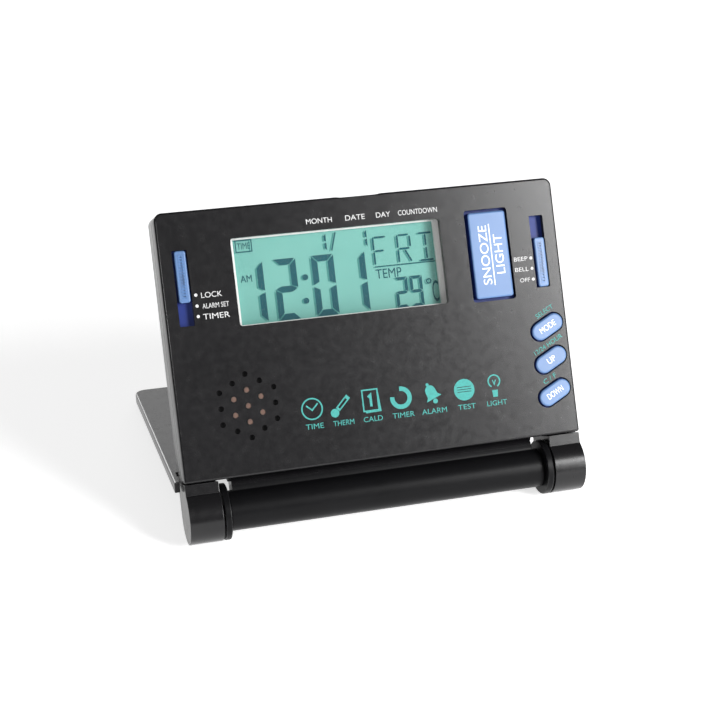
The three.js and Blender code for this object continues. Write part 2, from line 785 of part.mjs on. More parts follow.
// ---------------------------------------------------------------------------------------------------------
// Cover, in its own frame: the hinge axis is X
// ---------------------------------------------------------------------------------------------------------

/** Shallow tray: plate with a rim round its two sides and its far end. */
function coverTray() {
  const near = -coverCorner - coverEdge; // rounded near corners are cut away later
  const width = 2 * (rimOuterX - coverEdge);
  const length = rimOuterY - near - 2 * coverEdge;
  const outline = roundedRect(width, length, coverCorner - coverEdge, 0, (rimOuterY + near) / 2);
  const insideY = (rimInnerY - beyond) / 2;
  const inside = roundedRect(2 * rimInnerX, rimInnerY + beyond, coverCorner - rimWall, 0, insideY);
  return cut(
    softPrism(outline, rimBottom, coverOuter, coverEdge),
    prism(inside, -beyond, coverInner),
  );
}

/** Space kept free at the right: round the neck and knuckle, and nearer the axis than plate and rim. */
function hingeSpace() {
  const inner = barrelHalf - webInset / 2;
  const notchX = (rimInnerX + inner) / 2;
  const notchY = (neckNotch - beyond) / 2;
  return [
    box(4 * beyond, 2 * beyond, -beyond, beyond, 0, plateStart - beyond),
    box(rimInnerX - inner, neckNotch + beyond, -beyond, beyond, notchX, notchY),
    box(beyond, 2 * beyond, -beyond, beyond, rimInnerX + beyond / 2, rimStart - beyond),
  ];
}

/** Curved web that carries the plate on the barrel, in (Y, Z). */
function webProfile() {
  const outline = new THREE.Shape();
  outline.moveTo(0, barrelRadius - gap);
  outline.quadraticCurveTo(plateStart / 3, coverOuter - gap, plateStart + gap, coverOuter);
  outline.lineTo(webReach, coverOuter);
  outline.lineTo(webReach, coverInner);
  outline.quadraticCurveTo(barrelRadius, barrelRadius, barrelRadius - gap, 0);
  return outline;
}

function coverPanel() {
  const webEnd = barrelHalf - webInset;
  const tray = cut(coverTray(), ...hingeSpace(), ...hingeSpace().map(mirrored));
  const boreStart = barrelHalf - bushBoreDepth;
  const barrel = axle(barrelRadius, -barrelHalf, barrelHalf, 0, 0, 56);
  const bores = [
    axle(springSeatBore, -beyond, beyond),
    axle(barrelBore, boreStart, barrelHalf + 1),
    axle(barrelBore, -barrelHalf - 1, -boreStart),
  ];
  const table = new THREE.BoxGeometry(4 * beyond, 4 * beyond, beyond);
  table.translate(0, 0, -knuckleRadius - beyond / 2);
  table.rotateX(coverSlope);
  return cut(join(tray, bar(webProfile(), -webEnd, webEnd), barrel), ...bores, solid(table));
}

/** Flanged bush at the right end of the barrel: its flange is as big as the knuckle. */
function hingeBush() {
  const profile = [
    [pinRadius + pinClearance, flangeStart - spigotLength],
    [barrelBore - pinClearance, flangeStart - spigotLength],
    [barrelBore - pinClearance, flangeStart],
    [knuckleRadius, flangeStart],
    [knuckleRadius, flangeEnd],
    [pinRadius + pinClearance, flangeEnd],
    [pinRadius + pinClearance, flangeStart - spigotLength],
  ];
  const points = profile.map(([radius, along]) => new THREE.Vector2(radius, along));
  return solid(new THREE.LatheGeometry(points, 56).rotateZ(-Math.PI / 2));
}

/** Headed pin from inside the barrel into the right knuckle's socket. */
function hingePin() {
  return join(
    axle(pinHeadRadius, pinHeadEnd - pinHeadLength, pinHeadEnd),
    axle(pinRadius, pinHeadEnd - pinHeadLength / 2, side - knuckleWidth + pinEngagement),
  );
}

/** Compression spring that pushes the right pin out. */
function hingeSpring() {
  const coilRadius = barrelBore - gap - springWire;
  const coil = new THREE.Curve();
  coil.getPoint = (t, target = new THREE.Vector3()) => {
    const angle = 2 * Math.PI * springTurns * t;
    const along = THREE.MathUtils.lerp(springStart + springWire, springEnd - springWire, t);
    return target.set(along, coilRadius * Math.cos(angle), coilRadius * Math.sin(angle));
  };
  const wire = { extrudePath: coil, steps: 14 * springTurns, curveSegments: 3 };
  return solid(new THREE.ExtrudeGeometry(circle(springWire / 2), wire));
}

function cover() {
  const group = new THREE.Group();
  group.add(part('cover_panel', coverPanel(), charcoal()));
  group.add(part('hinge_bush_right', hingeBush(), black()));
  group.add(part('hinge_bush_left', mirrored(hingeBush()), black()));
  group.add(part('hinge_pin_right', hingePin(), steel()));
  group.add(part('hinge_pin_left', mirrored(hingePin()), steel()));
  group.add(part('hinge_spring', hingeSpring(), steel()));
  return group;
}

// ---------------------------------------------------------------------------------------------------------
// The whole clock
// ---------------------------------------------------------------------------------------------------------

/** Head, turned about the hinge axis to lean back. */
function head() {
  const pieces = new THREE.Group();
  pieces.position.set(0, axisDrop, axisDepth);
  pieces.add(casing(), display(), buttons(), slides(), sounder(), board(), batteries());
  const turned = new THREE.Group();
  turned.rotation.x = Math.PI / 2 - lean;
  turned.add(pieces);
  return turned;
}

const openCover = cover();
openCover.rotation.x = -coverSlope;

const onHinge = new THREE.Group();
onHinge.add(head(), openCover);

// The origin is on the table, under the middle of the clock's outline
const clock = new THREE.Group();
clock.add(onHinge);
const outline = new THREE.Box3().setFromObject(clock, true);
onHinge.position.set(0, -(outline.min.y + outline.max.y) / 2, -outline.min.z);

export default clock;
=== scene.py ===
"""Looks of the folding travel alarm clock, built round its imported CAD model.

Sizes in this file are millimetres in the front panel's own frame, unless a name ends in _m (metres).
There u runs to the right from the panel's left edge, v up the panel from its lower edge and w out of
its face. One matrix, PANEL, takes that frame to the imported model's frame, in metres.
"""

import json
import math

import bmesh
import bpy
from mathutils import Matrix, Vector
from mathutils.geometry import tessellate_polygon

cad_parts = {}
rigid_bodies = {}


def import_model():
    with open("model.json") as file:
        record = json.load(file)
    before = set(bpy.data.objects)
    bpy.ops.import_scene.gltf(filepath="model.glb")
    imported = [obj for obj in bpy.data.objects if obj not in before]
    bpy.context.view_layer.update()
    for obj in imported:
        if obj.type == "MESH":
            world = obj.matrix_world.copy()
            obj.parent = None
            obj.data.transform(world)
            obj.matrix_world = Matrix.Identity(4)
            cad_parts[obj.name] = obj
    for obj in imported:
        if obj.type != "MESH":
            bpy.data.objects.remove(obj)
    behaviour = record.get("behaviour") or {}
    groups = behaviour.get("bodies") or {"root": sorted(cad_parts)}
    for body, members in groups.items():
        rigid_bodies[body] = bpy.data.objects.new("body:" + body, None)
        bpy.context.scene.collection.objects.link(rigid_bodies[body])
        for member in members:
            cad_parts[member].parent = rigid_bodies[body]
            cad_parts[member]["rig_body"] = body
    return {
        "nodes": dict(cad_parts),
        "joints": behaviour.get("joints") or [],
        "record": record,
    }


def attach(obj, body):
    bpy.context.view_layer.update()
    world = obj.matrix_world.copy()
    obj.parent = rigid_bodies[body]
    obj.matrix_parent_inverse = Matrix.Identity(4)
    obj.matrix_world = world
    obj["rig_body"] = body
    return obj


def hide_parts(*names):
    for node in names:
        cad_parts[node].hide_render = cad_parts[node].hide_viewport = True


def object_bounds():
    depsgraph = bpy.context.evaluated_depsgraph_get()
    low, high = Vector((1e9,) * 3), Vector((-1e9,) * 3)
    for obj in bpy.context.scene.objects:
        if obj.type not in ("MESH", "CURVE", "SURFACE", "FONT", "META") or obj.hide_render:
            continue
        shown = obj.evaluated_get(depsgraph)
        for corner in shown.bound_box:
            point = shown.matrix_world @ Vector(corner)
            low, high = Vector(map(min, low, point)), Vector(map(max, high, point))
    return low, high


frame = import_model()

cad_low, cad_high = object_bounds()
scene = bpy.context.scene
MM = 0.001

# -------------------------------------------------------------------------------------------------
# Driving values
# -------------------------------------------------------------------------------------------------

# Printing
INK = 0.02  # thickness
INK_LIFT = 0.01  # height above its surface, so that the two never share a plane
ARC_STEPS = 10  # segments of a short arc, and a quarter of those of a circle
MITRE_LIMIT = 0.4  # keeps the corner of a line from growing into a spike

# Edges of the mouldings
MERGE = 0.002  # corners closer than this are one
SLIVER = 0.03  # triangles thinner than this have no clear direction
FLATNESS = 0.02  # corners this near a flat's plane belong on it
FLAT_AREA = 1.0  # square millimetres that a face needs to set a flat's plane
FLAT_DEGREES = 0.5  # faces that meet at less than this lie in one flat
SHARP_DEGREES = 32  # edges that turn by more than this get rounded
ROUNDING_STEPS = 2  # faces across a rounded edge

# Two-colour pieces
SKIRT_SHADE_DEPTH = 0.45  # a button or knob is painted a darker blue from this depth below its top, as painted shade on its sides and skirt
BARREL_REACH = 6.2  # the cover is polished black within this distance of the hinge axis
EDGE, SKIRT_SHADE, BARREL = 1, 2, 3  # places of these among a moulding's materials, after its body's

# Camera, at the photograph's viewing angle
AIM = (45.7, 24.2)  # point of the panel in the middle of the picture
CAMERA_DISTANCE = 375
CAMERA_AZIMUTH = -16.15
CAMERA_ELEVATION = 27.33
CAMERA_ROLL = 0.75
LENS = 77.5
NEAREST_SEEN_m = 0.01  # distance from the camera

# Studio
BACKDROP_SEEN = 1.0  # brightness of the white behind the clock
BACKDROP_CAST = 0.1  # brightness of the even light that it casts
FLOOR_GLOW = 0.62  # light from the sheet under the clock, which keeps it as pale as the backdrop
FLOOR_REACH_m = 6.0
FLOOR_DROP_m = 0.0001  # the sheet lies this far under the clock
SOFTBOXES = [
    # name, azimuth, elevation, then distance, width and height in metres, and watts
    ("key", 39, 22, 0.8, 0.24, 0.5, 9),
    ("front", -17, 28, 0.9, 0.12, 0.12, 1.6),
    ("back", 180, 14, 1.4, 2.0, 0.5, 4),
    ("left_back", -155, 6, 1.0, 0.4, 0.4, 3),
]

# -------------------------------------------------------------------------------------------------
# Frames
# -------------------------------------------------------------------------------------------------

joints = {joint["name"]: joint for joint in frame["joints"]}
press = Vector(joints["snooze_press"]["axis"]).normalized()
across = Vector((1, 0, 0))
upward = across.cross(press)
outward = -press


def span(node, axis):
    """Lowest and highest reach of a CAD node along an axis, in metres."""
    reach = [vertex.co.dot(axis) for vertex in frame["nodes"][node].data.vertices]
    return min(reach), max(reach)


panel_origin = (
    across * span("front_shell", across)[0]
    + upward * span("front_shell", upward)[0]
    + outward * span("front_shell", outward)[1]
)
PANEL = Matrix.Translation(panel_origin) @ Matrix((across, upward, outward)).transposed().to_4x4()
PANEL = PANEL @ Matrix.Scale(MM, 4)


def panel_box(node):
    """Lowest and highest corner of a CAD node in the panel's frame, in millimetres."""
    axes = (across, upward, outward)
    starts = [panel_origin.dot(axis) for axis in axes]
    spans = [span(node, axis) for axis in axes]
    low = Vector([(near - start) / MM for (near, _), start in zip(spans, starts)])
    high = Vector([(far - start) / MM for (_, far), start in zip(spans, starts)])
    return low, high


# -------------------------------------------------------------------------------------------------
# Materials
# -------------------------------------------------------------------------------------------------

MIX_FIRST, MIX_SECOND, MIX_RESULT = 6, 7, 2  # colour sockets of a Mix node
FLOW_SIZE = 9  # a moulding's flow marks
GLOSS_SIZE = 1.7  # patches of uneven gloss
GLOSS_SPREAD = 0.025  # how far their roughness strays
WAVE_SIZE = 5  # slow waves of a moulded surface, in grains
WAVE_DEPTH = 0.4  # and their depth, in parts of the grain's
FAINT = 0.004  # depth of a barely visible relief
SCRATCH_DEPTH = 0.003


class Look:
    """A node material round one Principled shader, with helpers that wire procedural detail to it."""

    def __init__(self, name, roughness, metallic=0.0, shine=0.5):
        self.material = bpy.data.materials.new(name)
        self.material.use_nodes = True
        self.nodes = self.material.node_tree.nodes
        self.links = self.material.node_tree.links
        self.shader = self.nodes["Principled BSDF"]
        self.shader.inputs["Roughness"].default_value = roughness
        self.shader.inputs["Metallic"].default_value = metallic
        self.shader.inputs["Specular IOR Level"].default_value = shine
        self.place = self.nodes.new("ShaderNodeTexCoord").outputs["Object"]

    def noise(self, size, detail=3.0, stretch=(1, 1, 1)):
        """Noise with features of about this size, in millimetres, stretched along the object's axes."""
        mapping = self.nodes.new("ShaderNodeMapping")
        mapping.inputs["Scale"].default_value = [1 / (size * MM * factor) for factor in stretch]
        self.links.new(self.place, mapping.inputs["Vector"])
        texture = self.nodes.new("ShaderNodeTexNoise")
        texture.inputs["Scale"].default_value = 1.0
        texture.inputs["Detail"].default_value = detail
        self.links.new(mapping.outputs["Vector"], texture.inputs["Vector"])
        return texture.outputs["Fac"]

    def spread(self, value, low, high, start=0.3, end=0.7):
        """Value between start and end, spread over low to high."""
        node = self.nodes.new("ShaderNodeMapRange")
        node.inputs["From Min"].default_value = start
        node.inputs["From Max"].default_value = end
        node.inputs["To Min"].default_value = low
        node.inputs["To Max"].default_value = high
        self.links.new(value, node.inputs["Value"])
        return node.outputs["Result"]

    def blend(self, factor, first, second):
        """Colour between two colours or colour sockets."""
        node = self.nodes.new("ShaderNodeMix")
        node.data_type = "RGBA"
        self.links.new(factor, node.inputs["Factor"])
        for index, colour in ((MIX_FIRST, first), (MIX_SECOND, second)):
            if isinstance(colour, bpy.types.NodeSocket):
                self.links.new(colour, node.inputs[index])
            else:
                node.inputs[index].default_value = (*colour, 1)
        return node.outputs[MIX_RESULT]

    def colour(self, socket):
        """Takes the colour of the surface from a socket."""
        self.links.new(socket, self.shader.inputs["Base Color"])

    def roughness(self, socket):
        """Takes the roughness of the surface from a socket."""
        self.links.new(socket, self.shader.inputs["Roughness"])

    def relief(self, *layers):
        """Bump from (height socket, depth in millimetres) layers."""
        normal = None
        for height, depth in layers:
            bump = self.nodes.new("ShaderNodeBump")
            bump.inputs["Distance"].default_value = depth * MM
            self.links.new(height, bump.inputs["Height"])
            if normal:
                self.links.new(normal, bump.inputs["Normal"])
            normal = bump.outputs["Normal"]
        self.links.new(normal, self.shader.inputs["Normal"])


def shade(colour, factor):
    """Colour made lighter or darker by a factor."""
    return tuple(channel * factor for channel in colour)


def moulded(name, colour, roughness, grain, depth, mottle=0.15, shine=0.5):
    """Moulded plastic: spark-eroded grain, faint flow marks, uneven gloss and slightly uneven colour."""
    look = Look(name, roughness, shine=shine)
    flow = look.spread(look.noise(FLOW_SIZE, detail=2, stretch=(1.8, 1, 1)), 0, 1)
    fine = look.noise(grain, detail=2)
    look.colour(look.blend(flow, shade(colour, 1 - mottle), shade(colour, 1 + mottle)))
    gloss = look.noise(GLOSS_SIZE, detail=4)
    look.roughness(look.spread(gloss, roughness - GLOSS_SPREAD, roughness + GLOSS_SPREAD))
    waves = look.noise(grain * WAVE_SIZE, detail=2)
    look.relief((fine, depth), (waves, depth * WAVE_DEPTH))
    return look.material


def worn(name, colour, roughness, shine=0.5):
    """Edge of a moulding: the grain is polished off and the colour a little lighter, in patches."""
    look = Look(name, roughness, shine=shine)
    patches = look.spread(look.noise(2.6, detail=5), 0, 1, start=0.42, end=0.62)
    look.colour(look.blend(patches, colour, shade(colour, 1.7)))
    look.roughness(look.spread(patches, roughness + 0.04, roughness - 0.08, start=0, end=1))
    look.relief((look.noise(0.5, detail=2), FAINT))
    return look.material


def metal(name, colour, roughness, stretch, metallic=1.0):
    """Drawn or plated metal with fine scratches along one axis."""
    look = Look(name, roughness, metallic)
    scratches = look.noise(0.12, stretch=stretch)
    tarnish = look.spread(look.noise(3), 0, 1)
    look.colour(look.blend(tarnish, shade(colour, 0.85), colour))
    look.roughness(look.spread(scratches, roughness - 0.08, roughness + 0.1))
    look.relief((scratches, SCRATCH_DEPTH))
    return look.material


def ink(name, colour, roughness=0.6, shine=0.5):
    """Screen printing, a little thin in places."""
    look = Look(name, roughness, shine=shine)
    thin = look.spread(look.noise(0.35), 0, 1, start=0.35, end=0.6)
    look.colour(look.blend(thin, shade(colour, 0.8), colour))
    look.relief((look.noise(0.2, detail=2), FAINT))
    return look.material


def display_glass():
    """Liquid crystal panel over its reflector: fine sparkle and a slow change of tint."""
    look = Look("display_teal", 0.35, shine=0.15)
    cloud = look.spread(look.noise(14, detail=2), 0, 1)
    sparkle = look.spread(look.noise(0.25, detail=2), 0, 1)
    tint = look.blend(cloud, (0.13, 0.35, 0.31), (0.18, 0.42, 0.37))
    look.colour(look.blend(sparkle, tint, (0.17, 0.44, 0.39)))
    look.relief((look.noise(0.3, detail=2), FAINT))
    return look.material


def clear_window():
    """Clear moulded window with faint ripples and haze."""
    look = Look("clear_plastic", 0.08)
    look.shader.inputs["Alpha"].default_value = 0.06
    look.colour(look.blend(look.noise(8, detail=2), (0.1, 0.14, 0.13), (0.2, 0.24, 0.23)))
    look.roughness(look.spread(look.noise(5), 0.05, 0.12))
    look.relief((look.noise(30, detail=1), FAINT))
    return look.material


CHARCOAL = (0.0065, 0.0062, 0.007)
BLACK = (0.005, 0.005, 0.0056)
BLUE = (0.1, 0.19, 0.38)
# the blue in painted shade: a darker blue for the shaded sides and skirts of buttons and knobs
PAINTED_SHADE_BLUE = (0.01, 0.026, 0.17)

looks = {
    # moulded: name, colour, roughness, size and depth of the grain, unevenness of the colour
    "charcoal": moulded("charcoal_plastic", CHARCOAL, 0.25, 0.28, 0.008, shine=0.42),
    "charcoal_edge": worn("charcoal_edge", CHARCOAL, 0.34),
    "black": moulded("black_plastic", BLACK, 0.35, 0.4, 0.006, shine=0.12),
    "black_edge": worn("black_edge", BLACK, 0.32, shine=0.2),
    "blue": moulded("blue_plastic", BLUE, 0.3, 0.5, 0.004, 0.06),
    # rounded edges of the blue pieces and the knob ribs: a quarter darker than the blue as painted
    # shade, with lighter worn patches
    "blue_edge": worn("blue_edge", shade(BLUE, 0.75), 0.26),
    # painted shade on the sides and skirts of the blue pieces
    "blue_in_painted_shade": moulded("blue_plastic_painted_shade", PAINTED_SHADE_BLUE, 0.4, 0.5, 0.004, shine=0.25),
    "white": moulded("white_plastic", (0.88, 0.88, 0.86), 0.4, 0.5, 0.005, 0.04),
    "nylon": moulded("switch_nylon", (0.02, 0.02, 0.022), 0.55, 0.4, 0.01),
    "rubber": moulded("connector_rubber", (0.04, 0.04, 0.045), 0.75, 0.3, 0.02),
    "laminate": moulded("board_laminate", (0.03, 0.14, 0.06), 0.4, 0.6, 0.01),
    "steel": metal("plated_steel", (0.6, 0.6, 0.6), 0.3, (8, 1, 1)),
    "nickel": metal("nickel_plate", (0.62, 0.6, 0.53), 0.33, (1, 8, 1)),
    "copper": metal("copper_plate", (0.98, 0.66, 0.54), 0.6, (1, 1, 1), metallic=0.4),
    "display": display_glass(),
    "window": clear_window(),
    "white_ink": ink("white_ink", (0.65, 0.65, 0.65)),
    "button_ink": ink("button_ink", (0.95, 0.95, 0.95), 0.35),
    "turquoise_ink": ink("turquoise_ink", (0.03, 0.32, 0.29)),
    "figures": ink("display_figures", (0.008, 0.085, 0.11), shine=0.1),
    "figure_shadow": ink("figure_shadow", (0.06, 0.25, 0.23), shine=0.1),
}

# -------------------------------------------------------------------------------------------------
# CAD nodes: finished copies of the outer mouldings, and materials on the other nodes
# -------------------------------------------------------------------------------------------------


def is_sliver(face):
    """Whether a triangle is too thin for its direction to mean anything."""
    longest = max(edge.calc_length() for edge in face.edges)
    return 2 * face.calc_area() < SLIVER * MM * longest


def smooth_curves(shape):
    """Smooth shading for faces of curved surfaces alone, so that flats stay exactly flat."""
    slivers = {face for face in shape.faces if is_sliver(face)}
    for face in shape.faces:
        bends = [
            math.degrees(edge.calc_face_angle(0))
            for edge in face.edges
            if not slivers.intersection(edge.link_faces)
        ]
        face.smooth = any(FLAT_DEGREES < bend < SHARP_DEGREES for bend in bends)
    for edge in shape.edges:
        edge.smooth = edge.calc_face_angle(0) < math.radians(SHARP_DEGREES)


def round_edges(shape, radius):
    """Rounds every sharp edge, and gives the rounding the edge's material."""
    sharp = [edge for edge in shape.edges if edge.calc_face_angle(0) > math.radians(SHARP_DEGREES)]
    bmesh.ops.bevel(
        shape,
        geom=sharp,
        offset=radius * MM,
        offset_type="OFFSET",
        segments=ROUNDING_STEPS,
        profile=0.5,
        affect="EDGES",
        clamp_overlap=False,
        loop_slide=True,
        mark_sharp=True,
        material=EDGE,
    )


def flatten(shape):
    """Brings corners that strayed from a flat back on to its plane."""
    planes = []
    flats = [face for face in shape.faces if not face.smooth]
    for face in sorted(flats, key=bmesh.types.BMFace.calc_area, reverse=True):
        for normal, level in planes:
            strays = [vertex.co.dot(normal) - level for vertex in face.verts]
            if max(map(abs, strays)) < FLATNESS * MM:
                for vertex, stray in zip(face.verts, strays):
                    vertex.co -= normal * stray
                break
        else:
            if face.calc_area() > FLAT_AREA * MM**2:
                planes.append((face.normal.copy(), face.verts[0].co.dot(face.normal)))


def paint_skirt_shade(shape):
    """Gives the faces that reach deeper than a button's top a darker blue, as painted shade on its sides
    and skirt.
    """
    top = max(vertex.co.dot(outward) for vertex in shape.verts)
    for face in shape.faces:
        lowest = min(vertex.co.dot(outward) for vertex in face.verts)
        if lowest < top - SKIRT_SHADE_DEPTH * MM:
            face.material_index = SKIRT_SHADE


def paint_barrel(shape):
    """Gives the faces round the hinge axis the black material."""
    axis = Vector(joints["cover_hinge"]["pos_m"])
    for face in shape.faces:
        away = face.calc_center_median() - axis
        if math.hypot(away.y, away.z) < BARREL_REACH * MM:
            face.material_index = BARREL


def finish_moulding(mesh, radius, has_skirt_shade, has_barrel):
    """Rounds, shades and paints a moulding's mesh in place."""
    shape = bmesh.new()
    shape.from_mesh(mesh)
    bmesh.ops.remove_doubles(shape, verts=shape.verts, dist=MERGE * MM)
    bmesh.ops.dissolve_degenerate(shape, edges=shape.edges, dist=MERGE * MM)
    smooth_curves(shape)
    if radius:
        round_edges(shape, radius)
        flatten(shape)
    if has_skirt_shade:
        paint_skirt_shade(shape)
    if has_barrel:
        paint_barrel(shape)
    shape.to_mesh(mesh)
    shape.free()
    if "custom_normal" in mesh.attributes:
        mesh.attributes.remove(mesh.attributes["custom_normal"])


def moulding(node, slot, look, edge_look, radius):
    """Copy of a CAD node with its sharp edges rounded, which stands for that node."""
    source = frame["nodes"][node]
    mesh = source.data.copy()
    mesh.materials.clear()
    # the third material is the blue in painted shade, the fourth the black of the barrel
    for name in (look, edge_look, "blue_in_painted_shade", "black"):
        mesh.materials.append(looks[name])
    finish_moulding(mesh, radius, has_skirt_shade=look == "blue", has_barrel=node == "cover_panel")
    piece = bpy.data.objects.new(node + "_skin", mesh)
    scene.collection.objects.link(piece)
    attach(piece, source["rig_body"])
    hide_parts(node)


MOULDINGS = [
    # node, slot in the record, look, look of its edges, edge radius
    ("front_shell", "charcoal_plastic", "charcoal", "charcoal_edge", 0),
    ("rear_shell", "charcoal_plastic", "charcoal", "charcoal_edge", 0.12),
    ("cover_panel", "charcoal_plastic", "charcoal", "charcoal_edge", 0.15),
    ("battery_door", "charcoal_plastic", "charcoal", "charcoal_edge", 0.12),
    ("hinge_bush_left", "black_plastic", "black", "black_edge", 0.3),
    ("hinge_bush_right", "black_plastic", "black", "black_edge", 0.3),
    ("snooze_button", "blue_plastic", "blue", "blue_edge", 0.08),
    ("mode_button", "blue_plastic", "blue", "blue_edge", 0.08),
    ("up_button", "blue_plastic", "blue", "blue_edge", 0.08),
    ("down_button", "blue_plastic", "blue", "blue_edge", 0.08),
    ("left_knob", "blue_plastic", "blue", "blue_edge", 0.08),
    ("right_knob", "blue_plastic", "blue", "blue_edge", 0.08),
]
for row in MOULDINGS:
    moulding(*row)

LOOK_OF_SLOT = {
    "clear_plastic": "window",
    "white_plastic": "white",
    "display_teal": "display",
    "connector_rubber": "rubber",
    "switch_nylon": "nylon",
    "board_laminate": "laminate",
    "plated_steel": "steel",
    "nickel_plate": "nickel",
    "copper_plate": "copper",
    "black_plastic": "black",
}
moulded_nodes = {row[0] for row in MOULDINGS}
for entry in frame["record"]["subparts"]:
    if entry["node"] not in moulded_nodes:
        materials = frame["nodes"][entry["node"]].data.materials
        materials.clear()
        materials.append(looks[LOOK_OF_SLOT[entry["material_slot"]]])

# -------------------------------------------------------------------------------------------------
# Flat shapes: printing and display figures
# -------------------------------------------------------------------------------------------------


def arc(x, y, radius, start, end, steps=ARC_STEPS):
    """Points along an arc, with angles in degrees."""
    turns = [math.radians(start + (end - start) * step / steps) for step in range(steps + 1)]
    return [(x + radius * math.cos(turn), y + radius * math.sin(turn)) for turn in turns]


def circle(x, y, radius):
    """Points round a circle."""
    return arc(x, y, radius, 0, 360, 4 * ARC_STEPS)[:-1]


def stroke(points, width, closed=False):
    """Outline of a line of this width through the points, with square joints."""
    points = [Vector(point) for point in points]
    count = len(points)
    left, right = [], []
    for index, point in enumerate(points):
        before = points[index - 1] if index or closed else None
        after = points[(index + 1) % count] if index + 1 < count or closed else None
        ahead = (after - point).normalized() if after is not None else (point - before).normalized()
        behind = (point - before).normalized() if before is not None else ahead
        mean = (ahead + behind).normalized()
        side = Vector((-mean.y, mean.x)) * width / 2 / max(mean.dot(ahead), MITRE_LIMIT)
        left.append(tuple(point + side))
        right.append(tuple(point - side))
    return [left, right[::-1]] if closed else [left + right[::-1]]


def add_slab(shape, loops, low, high, place):
    """Closed slab of an outline and its holes, between two heights above the place."""
    points = [point for loop in loops for point in loop]
    top = [shape.verts.new(place @ Vector((x, y, high))) for x, y in points]
    bottom = [shape.verts.new(place @ Vector((x, y, low))) for x, y in points]
    flat_loops = [[Vector((x, y, 0)) for x, y in loop] for loop in loops]
    for a, b, c in tessellate_polygon(flat_loops):
        shape.faces.new((top[a], top[b], top[c]))
        shape.faces.new((bottom[c], bottom[b], bottom[a]))
    start = 0
    for loop in loops:
        for index in range(len(loop)):
            here = start + index
            after = start + (index + 1) % len(loop)
            shape.faces.new((bottom[here], bottom[after], top[after], top[here]))
        start += len(loop)


def letter_mesh(text):
    """Flat mesh of plain capitals or figures."""
    curve = bpy.data.curves.new("words", "FONT")
    curve.body = text
    letters = bpy.data.objects.new("words", curve)
    scene.collection.objects.link(letters)
    graph = bpy.context.evaluated_depsgraph_get()
    mesh = bpy.data.meshes.new_from_object(letters.evaluated_get(graph))
    bpy.data.objects.remove(letters)
    bpy.data.curves.remove(curve)
    return mesh


def add_words(shape, text, centre, width, height, level, turn=0):
    """Words that fill width by height round a centre, turned by degrees."""
    mesh = letter_mesh(text)
    reach = [[vertex.co[axis] for vertex in mesh.vertices] for axis in range(2)]
    middle = [(min(values) + max(values)) / 2 for values in reach]
    extent = [max(values) - min(values) for values in reach]
    place = (
        PANEL
        @ Matrix.Translation((*centre, level))
        @ Matrix.Rotation(math.radians(turn), 4, "Z")
        @ Matrix.Diagonal((width / extent[0], height / extent[1], 1, 1))
        @ Matrix.Translation((-middle[0], -middle[1], 0))
    )
    mesh.transform(place)
    kept = len(shape.faces)
    shape.from_mesh(mesh)
    bpy.data.meshes.remove(mesh)
    shape.faces.ensure_lookup_table()
    raised = bmesh.ops.extrude_face_region(shape, geom=shape.faces[kept:])
    moved = [item for item in raised["geom"] if isinstance(item, bmesh.types.BMVert)]
    bmesh.ops.translate(shape, verts=moved, vec=outward * INK * MM)


def flat_piece(name, look, body, level, outlines=(), words=(), thickness=INK):
    """Piece of thin shapes and words that lie on the plane w = level and ride on a body."""
    shape = bmesh.new()
    for loops in outlines:
        add_slab(shape, loops, level, level + thickness, PANEL)
    for entry in words:
        add_words(shape, *entry[:4], level, *entry[4:])
    bmesh.ops.recalc_face_normals(shape, faces=shape.faces)
    mesh = bpy.data.meshes.new(name)
    shape.to_mesh(mesh)
    shape.free()
    mesh.materials.append(looks[look])
    piece = bpy.data.objects.new(name, mesh)
    scene.collection.objects.link(piece)
    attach(piece, body)


# White printing on the front panel

WHITE_WORDS = [
    # text, centre, width, height
    ("MONTH", (39.6, 58.7), 6.4, 1.25),
    ("DATE", (48.6, 58.7), 4.9, 1.25),
    ("DAY", (55.7, 58.7), 3.6, 1.25),
    ("COUNTDOWN", (64.5, 58.7), 10, 1.25),
    ("LOCK", (11.6, 43.8), 5, 1.3),
    ("ALARM SET", (12.3, 41.2), 6.4, 1.2),
    ("TIMER", (12.2, 38.7), 6.4, 1.3),
    ("BEEP", (89.7, 44.4), 3.6, 1.0),
    ("BELL", (89.7, 41.8), 3.6, 1.0),
    ("OFF", (90.2, 39.1), 2.6, 1.0),
]
DOT_RADIUS = 0.38
DOTS = [  # one beside each place of a slide: how far across, and how far up the three are
    (7.85, (44.0, 41.4, 38.9)),
    (92.4, (44.4, 41.8, 39.1)),
]

flat_piece(
    "white_printing", "white_ink", "head", INK_LIFT,
    outlines=[[circle(u, v, DOT_RADIUS)] for u, rows in DOTS for v in rows],
    words=WHITE_WORDS,
)

# Turquoise printing on the front panel: a row of symbols with words under them, and tilted words

LINE = 0.35  # width of a symbol's lines
FINE_LINE = 0.16  # width of the lines left open in the disc
BELL_TILT = 22
THERMOMETER_TILT = 45
SYMBOL_ROW = 13.9
LABEL_ROW = 9.7
LABEL_SHIFT = 0.2  # a word sits a little to the right of its symbol's centre
LABEL_HEIGHT = 1.25
OVAL_TILT = 27  # turn of the oval buttons and of the words beside and on them
TILTED_WORDS = [
    # text, centre, width, height, turn
    ("SELECT", (94.3, 30.8), 5.2, 1.15, OVAL_TILT),
    ("12/24 HOUR", (94.3, 22.5), 8.6, 1.15, OVAL_TILT),
    ("C / F", (93.7, 14.0), 3.8, 1.15, OVAL_TILT),
]


def clock_symbol(u, v):
    """Dial with two hands."""
    ring = stroke(circle(u, v, 2.5), LINE, closed=True)
    hands = stroke([(u - 1.4, v + 0.9), (u, v - 0.3), (u + 1.5, v + 1.2)], LINE)
    return [ring, hands]


